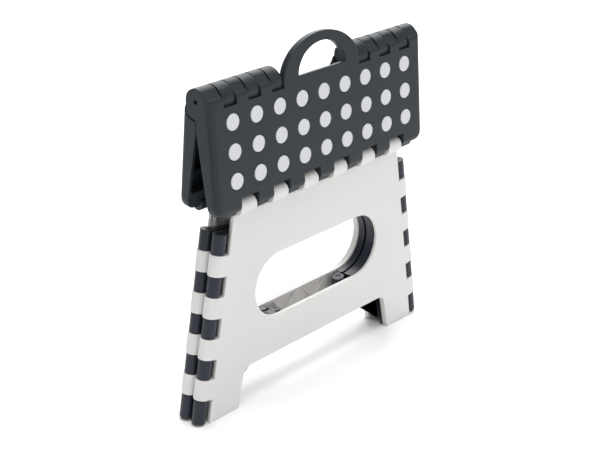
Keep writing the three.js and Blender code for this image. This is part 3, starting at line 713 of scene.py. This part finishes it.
def material(name, colour, roughness, grain, mottle, bump, specular=0.5):
    """Moulded surface: slow colour drift, fine grain in the bump and uneven gloss."""
    mat = bpy.data.materials.new(name)
    mat.use_nodes = True
    tree = mat.node_tree
    shader = shader_of(mat)
    shader.inputs["Specular IOR Level"].default_value = specular
    coords = tree.nodes.new("ShaderNodeTexCoord")
    slow = tree.nodes.new("ShaderNodeTexNoise")
    slow.inputs["Scale"].default_value = 14
    slow.inputs["Detail"].default_value = 3
    fine = tree.nodes.new("ShaderNodeTexNoise")
    fine.inputs["Scale"].default_value = grain
    fine.inputs["Detail"].default_value = 4
    for node in (slow, fine):
        tree.links.new(coords.outputs["Object"], node.inputs["Vector"])
    ramp = tree.nodes.new("ShaderNodeMapRange")
    ramp.inputs["From Min"].default_value = 0.3
    ramp.inputs["From Max"].default_value = 0.7
    ramp.inputs["To Min"].default_value = 1 - mottle
    ramp.inputs["To Max"].default_value = 1 + mottle
    tree.links.new(slow.outputs["Fac"], ramp.inputs["Value"])
    tint = tree.nodes.new("ShaderNodeVectorMath")
    tint.operation = "SCALE"
    tint.inputs[0].default_value = colour
    tree.links.new(ramp.outputs["Result"], tint.inputs["Scale"])
    tree.links.new(tint.outputs["Vector"], shader.inputs["Base Color"])
    gloss = tree.nodes.new("ShaderNodeMapRange")
    gloss.inputs["To Min"].default_value = roughness - 0.06
    gloss.inputs["To Max"].default_value = roughness + 0.06
    tree.links.new(fine.outputs["Fac"], gloss.inputs["Value"])
    tree.links.new(gloss.outputs["Result"], shader.inputs["Roughness"])
    relief = tree.nodes.new("ShaderNodeBump")
    relief.inputs["Strength"].default_value = bump
    relief.inputs["Distance"].default_value = 0.0002
    tree.links.new(fine.outputs["Fac"], relief.inputs["Height"])
    tree.links.new(relief.outputs["Normal"], shader.inputs["Normal"])
    return mat


dark_plastic = material("dark_plastic", (0.022, 0.0275, 0.0335), 0.42, 1400, 0.05, 0.25, 0.22)
dark_hinge = material("dark_hinge", (0.020, 0.0245, 0.035), 0.32, 1100, 0.05, 0.15, 0.27)
light_plastic = material("light_plastic", (0.70, 0.690, 0.680), 0.42, 1200, 0.012, 0.12)
glow = shader_of(light_plastic)
glow.inputs["Subsurface Weight"].default_value = 0.35
glow.inputs["Subsurface Radius"].default_value = (1.0, 0.95, 0.9)
glow.inputs["Subsurface Scale"].default_value = 0.004
grip_rubber = material("grip_rubber", (0.63, 0.637, 0.66), 0.65, 2200, 0.015, 0.35)
pin_steel = material("pin_steel", (0.09, 0.092, 0.096), 0.42, 900, 0.05, 0.1)
shader_of(pin_steel).inputs["Metallic"].default_value = 1.0


# --- Finished pieces -----------------------------------------------------------------------------

def gathered(objects):
    """One object holding separate solids."""
    bm = bmesh.new()
    for obj in objects:
        bm.from_mesh(obj.data)
        mesh = obj.data
        bpy.data.objects.remove(obj)
        bpy.data.meshes.remove(mesh)
    mesh = bpy.data.meshes.new("gathered")
    bm.to_mesh(mesh)
    bm.free()
    return object_of("gathered", mesh)


def has_room(edge):
    """True where both faces beside the edge are wide enough to be eased."""
    for face in edge.link_faces:
        for loop in face.loops:
            if loop.vert in edge.verts and loop.calc_angle() < EASED_ROOM:
                return False
    return True


def eased(bm, width):
    """Rounds the sharp outer edges; where a face is too small for it, the corner stays near its place."""
    surface = BVHTree.FromBMesh(bm)
    places = KDTree(len(bm.verts))
    for i, vert in enumerate(bm.verts):
        places.insert(vert.co, i)
    places.balance()
    sharp = [edge for edge in bm.edges
             if edge.is_manifold and edge.is_convex
             and edge.calc_face_angle() > EASED_ANGLE and has_room(edge)]
    bmesh.ops.bevel(bm, geom=sharp, offset=width, segments=2, profile=0.5, affect="EDGES",
                    clamp_overlap=False, loop_slide=False)
    limit = EASED_REACH * width
    for vert in bm.verts:
        place, _, gap = places.find(vert.co)
        if gap > limit:
            vert.co = place + (vert.co - place) * (limit / gap)
        near, normal, _, _ = surface.find_nearest(vert.co)
        if (vert.co - near).dot(normal) > 0:
            vert.co = near
    bmesh.ops.delete(bm, geom=[edge for edge in bm.edges if edge.is_wire], context="EDGES")


def finished(obj, name, node, body, mat, matrix=Matrix.Identity(4), bevel=EASED_WIDTH):
    obj.name = name
    obj.data.name = name
    bm = bmesh.new()
    bm.from_mesh(obj.data)
    bmesh.ops.remove_doubles(bm, verts=bm.verts, dist=0.003)
    bmesh.ops.triangulate(bm, faces=bm.faces)
    if bevel > 0:
        eased(bm, bevel)
    bm.to_mesh(obj.data)
    bm.free()
    obj.data.transform(Matrix.Scale(MM, 4) @ matrix)
    obj.data.materials.clear()
    obj.data.materials.append(mat)
    obj.data.shade_smooth()
    obj.data.set_sharp_from_angle(angle=SMOOTH_ANGLE)
    normals = obj.modifiers.new("normals", "WEIGHTED_NORMAL")
    normals.keep_sharp = True
    normals.weight = 80
    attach(obj, body)
    if node is not None:
        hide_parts(node)
    return obj


turned = Matrix.Rotation(math.pi, 4, "Z")

for is_front, end in ((True, "front"), (False, "back")):
    finished(tread_half(is_front), f"{end}_tread_shell", f"{end}_tread", f"{end}_tread",
             dark_plastic, tread_matrix(is_front))
    top = TREAD_FACE + DOT_PROUD
    discs = [disc(x, y, 0, TREAD_FACE - DOT_DEPTH, top, edge=DOT_EDGE) for x, y in dot_centres(is_front)]
    finished(gathered(discs), f"{end}_discs", f"{end}_grip_dots", f"{end}_tread",
             grip_rubber, tread_matrix(is_front), bevel=0)
    finished(leg_solid(is_front), f"{end}_leg_shell", f"{end}_leg", f"{end}_leg",
             light_plastic, Matrix.Identity(4) if is_front else turned)

for side, name, opposite in ((-1, "left", "right"), (1, "right", "left")):
    finished(gusset_solid(side, True), f"{name}_front_web", f"{name}_front_gusset",
             f"{name}_front_gusset", dark_hinge)
    finished(gusset_solid(side, False), f"{opposite}_back_web",
             f"{opposite}_back_gusset", f"{opposite}_back_gusset", dark_hinge, turned)

for node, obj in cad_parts.items():
    if node.endswith("_pin") or node.startswith("centre_pin"):
        obj.data.materials.clear()
        obj.data.materials.append(pin_steel)


# --- Stage ---------------------------------------------------------------------------------------

FLOOR_REACH = 6


def stage_material(name, colour):
    mat = bpy.data.materials.new(name)
    mat.use_nodes = True
    shader = shader_of(mat)
    shader.inputs["Base Color"].default_value = (*colour, 1)
    shader.inputs["Roughness"].default_value = 0.9
    shader.inputs["Specular IOR Level"].default_value = 0.1
    return mat


floor_mesh = bpy.data.meshes.new("floor")
reach = FLOOR_REACH
floor_mesh.from_pydata([(-reach, -reach, 0), (reach, -reach, 0), (reach, reach, 0), (-reach, reach, 0)],
                       [], [(0, 1, 2, 3)])
floor = object_of("floor", floor_mesh)
floor.data.materials.append(stage_material("floor", (0.93, 0.93, 0.93)))


def area_light(name, place, target, size, power, colour=(1, 1, 1)):
    data = bpy.data.lights.new(name, "AREA")
    data.shape = "RECTANGLE"
    data.size = size[0]
    data.size_y = size[1]
    data.energy = power
    data.color = colour
    lamp = bpy.data.objects.new(name, data)
    bpy.context.scene.collection.objects.link(lamp)
    lamp.location = place
    aim = Vector(target) - Vector(place)
    lamp.rotation_euler = aim.to_track_quat("-Z", "Y").to_euler()
    return lamp


middle = Vector((0, 0, CENTRE_HINGE_HEIGHT * MM * 0.6))
area_light("key", (-0.6, -1.6, 1.7), middle, (1.8, 1.8), 17.5)
area_light("left_fill", (-1.9, -0.2, 0.9), middle, (1.2, 1.2), 0.8)
area_light("right_fill", (1.5, -1.2, 0.9), middle, (1.2, 1.2), 2)
area_light("back_top", (1.35, 1.2, 1.25), middle, (1.8, 1.5), 34)

overhead = bpy.data.lights.new("overhead", "SUN")
overhead.energy = 2.4
overhead.angle = math.radians(50)
overhead_lamp = bpy.data.objects.new("overhead", overhead)
bpy.context.scene.collection.objects.link(overhead_lamp)
overhead_lamp.location = (0, 0, 2)

world = bpy.data.worlds.new("studio")
world.use_nodes = True
world.node_tree.nodes["Background"].inputs["Color"].default_value = (1, 1, 1, 1)
world.node_tree.nodes["Background"].inputs["Strength"].default_value = 0.24
bpy.context.scene.world = world
bpy.context.scene.view_settings.view_transform = "Standard"

# Camera: place in metres, then where it looks.
CAMERA_PLACE = (-0.8875, -0.7897, 0.6759)
CAMERA_AZIMUTH = math.radians(47.985)
CAMERA_DROP = math.radians(23.933)
CAMERA_ROLL = math.radians(0.666)
camera_data = bpy.data.cameras.new("camera")
camera_data.lens = 80.79
camera_data.sensor_width = 36
camera = bpy.data.objects.new("camera", camera_data)
bpy.context.scene.collection.objects.link(camera)
forward = Vector((math.sin(CAMERA_AZIMUTH) * math.cos(CAMERA_DROP),
                  math.cos(CAMERA_AZIMUTH) * math.cos(CAMERA_DROP), -math.sin(CAMERA_DROP)))
right = Vector((math.cos(CAMERA_AZIMUTH), -math.sin(CAMERA_AZIMUTH), 0))
up = right.cross(forward)
rolled_right = right * math.cos(CAMERA_ROLL) + up * math.sin(CAMERA_ROLL)
rolled_up = up * math.cos(CAMERA_ROLL) - right * math.sin(CAMERA_ROLL)
turn = Matrix((rolled_right, rolled_up, -forward)).transposed().to_4x4()
camera.matrix_world = Matrix.Translation(CAMERA_PLACE) @ turn
bpy.context.scene.camera = camera
